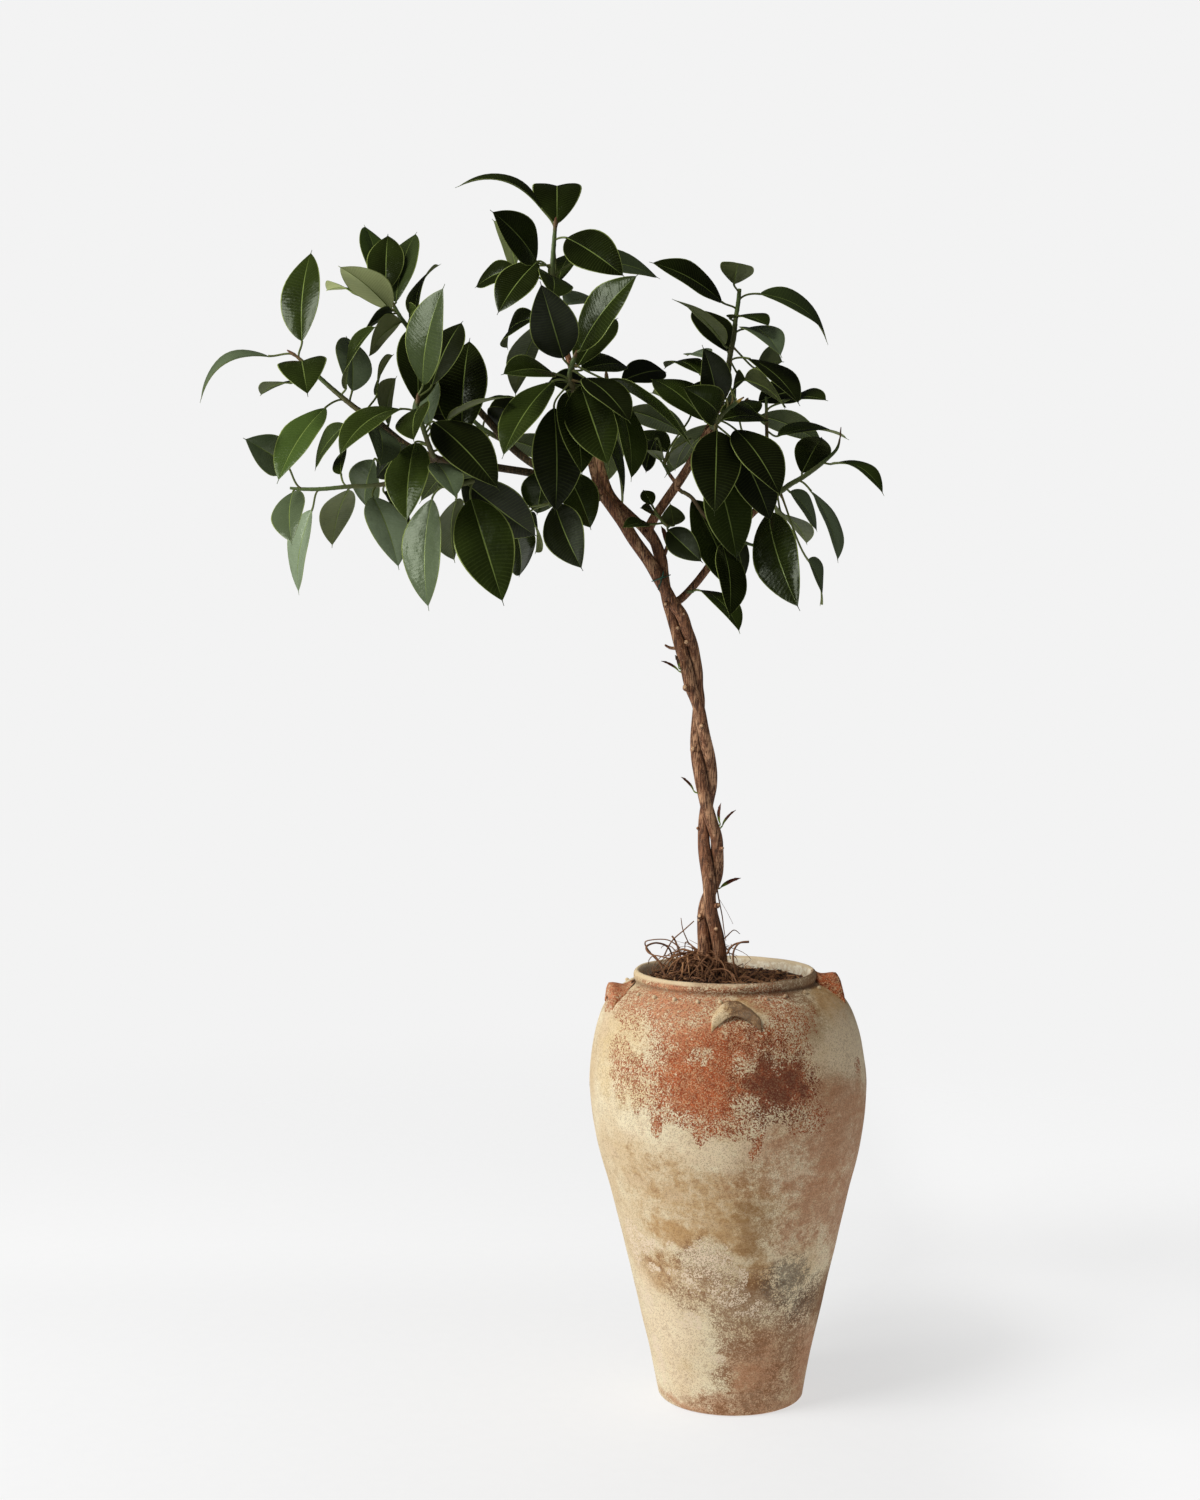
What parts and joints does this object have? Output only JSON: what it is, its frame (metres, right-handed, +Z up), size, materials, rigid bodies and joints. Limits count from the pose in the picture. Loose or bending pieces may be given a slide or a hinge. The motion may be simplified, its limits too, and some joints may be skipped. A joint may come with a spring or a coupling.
{
  "type": "potted rubber plant",
  "caption": "Rubber plant grown as a small tree on two twisted stems, standing in a tall shouldered clay jar filled with soil.",
  "frame": {"origin": "centre of the jar's foot, on the surface that it stands on", "axes": "+Z up, -Y towards the front view, +X to the right of the front view"},
  "size_m": [1.0941, 0.5324, 1.9957],
  "materials": {
    "fired_clay": "unglazed orange clay under worn, speckled cream slip, matt",
    "potting_mix": "damp coarse bark and coir, matt",
    "bark": "thin brown bark with fine fissures and leaf scars, matt",
    "leaf": "leathery dark green with a waxy gloss and a yellow-green midrib",
    "plant_tie": "soft green plastic, satin"
  },
  "bodies": {
    "root": {"jar": "fired_clay", "soil": "potting_mix", "stem_a": "bark", "stem_b": "bark", "tie": "plant_tie", "shoot_centre": "leaf", "shoot_right_front": "leaf", "shoot_left_low": "leaf", "shoot_left_front": "leaf", "shoot_far_left": "leaf", "shoot_upper_left": "leaf", "shoot_left_bare": "leaf", "shoot_top": "leaf", "shoot_right_top": "leaf", "shoot_far_right": "leaf", "shoot_right_twig": "leaf", "shoot_right_low": "leaf", "shoot_right_first": "leaf", "shoot_inner_twig": "leaf", "shoot_fork": "leaf", "shoot_centre_low": "leaf", "shoot_back_centre": "leaf", "shoot_back_right": "leaf", "shoot_back_left": "leaf"}
  },
  "joints": []
}
